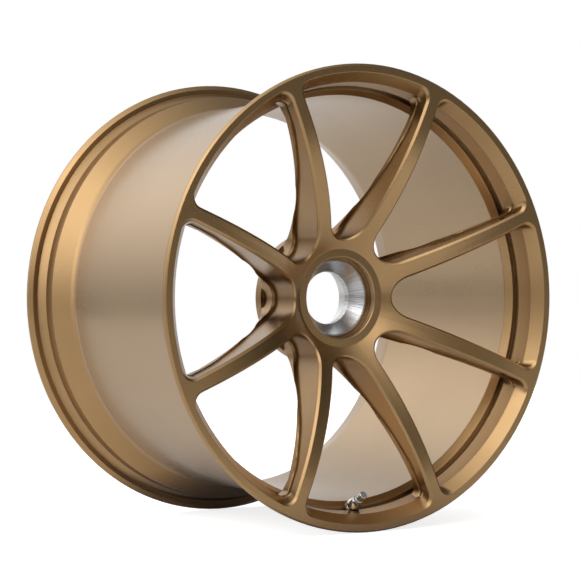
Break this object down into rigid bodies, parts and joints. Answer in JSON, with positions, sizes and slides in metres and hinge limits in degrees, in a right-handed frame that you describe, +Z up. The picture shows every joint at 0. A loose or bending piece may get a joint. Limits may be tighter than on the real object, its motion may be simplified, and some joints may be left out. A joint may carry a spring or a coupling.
{
  "type": "racing wheel",
  "caption": "One-piece forged centre-lock racing wheel with straight chamfered spokes, a domed face, a deep barrel, a pressed-in cone seat, drive-pin bushes and a metal clamp-in tyre valve",
  "frame": {"origin": "on the wheel's axis, halfway across the rim", "axes": "+Y is the wheel's axis and points to the vehicle; the outer face looks toward -Y; +Z is up, with the valve at the bottom"},
  "size_m": [0.5473, 0.3446, 0.5474],
  "materials": {
    "forging": "satin gold-bronze coat over forged and turned aluminium",
    "seat": "bare turned, fine radial streaks",
    "bush": "ground steel",
    "rubber": "smooth black rubber",
    "packing": "white low-friction plastic",
    "nickel": "bright nickel plate",
    "cap": "bright turned, fluted",
    "brass": "machined brass",
    "spring": "drawn spring wire"
  },
  "bodies": {
    "wheel": {"wheel_forging": "forging", "centre_lock_seat": "seat", "drive_bush_1": "bush", "drive_bush_2": "bush", "drive_bush_3": "bush", "drive_bush_4": "bush", "drive_bush_5": "bush", "valve_stem": "nickel", "valve_inner_seal": "rubber", "valve_washer": "nickel", "valve_collar": "nickel", "valve_nut": "nickel", "core_plug": "brass", "core_barrel": "brass", "core_packing": "packing", "core_spring": "spring"},
    "cap_seal": {"valve_cap_seal": "rubber"},
    "cap": {"valve_cap": "cap"},
    "core_valve": {"core_pin": "brass", "core_cup": "brass"}
  },
  "joints": [
    {"name": "cap_travel", "type": "slide", "parent": "wheel", "child": "cap_seal", "axis": [0, -0.8434, 0.5373], "range_m": [0, 0.00397]},
    {"name": "cap_turn", "type": "hinge", "parent": "cap_seal", "child": "cap", "pos_m": [0, -0.15459, -0.23327], "axis": [0, -0.8434, 0.5373], "range_deg": [0, 1830]},
    {"name": "core_press", "type": "slide", "parent": "wheel", "child": "core_valve", "axis": [0, 0.8434, -0.5373], "range_m": [0, 0.0012], "stiffness_N_per_m": 400, "springref_m": -0.001}
  ],
  "couplings": [
    {"joint": "cap_turn", "follows": "cap_travel", "rad_per_m": 7913.3}
  ]
}
